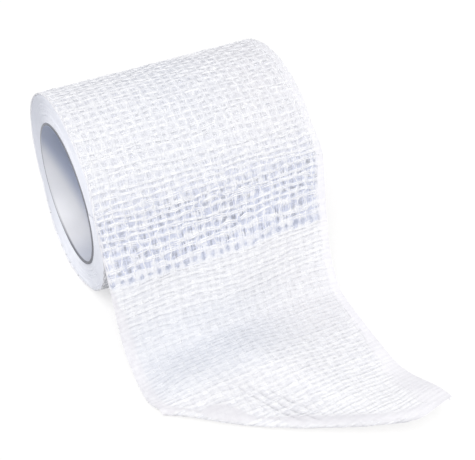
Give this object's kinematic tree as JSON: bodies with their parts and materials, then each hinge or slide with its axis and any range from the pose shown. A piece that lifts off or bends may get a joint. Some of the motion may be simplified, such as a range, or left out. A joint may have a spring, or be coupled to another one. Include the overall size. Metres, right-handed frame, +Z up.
{
  "type": "cohesive bandage roll",
  "caption": "Narrow white gauze bandage wound on a thin tubular core, its loose end hanging off the front and lying forward with one corner turned under.",
  "frame": {"origin": "middle of the small flat spot on which the roll rests", "axes": "+X along the roll's axis, -Y the way the loose end comes forward, +Z up"},
  "size_m": [0.042, 0.079, 0.0362],
  "materials": {
    "gauze": "open-weave crepe gauze, matt, sheer where it is a single layer, with closer selvedges",
    "core": "smooth thin-walled tube, satin"
  },
  "bodies": {
    "root": {"bandage": "gauze", "core": "core"}
  },
  "joints": []
}
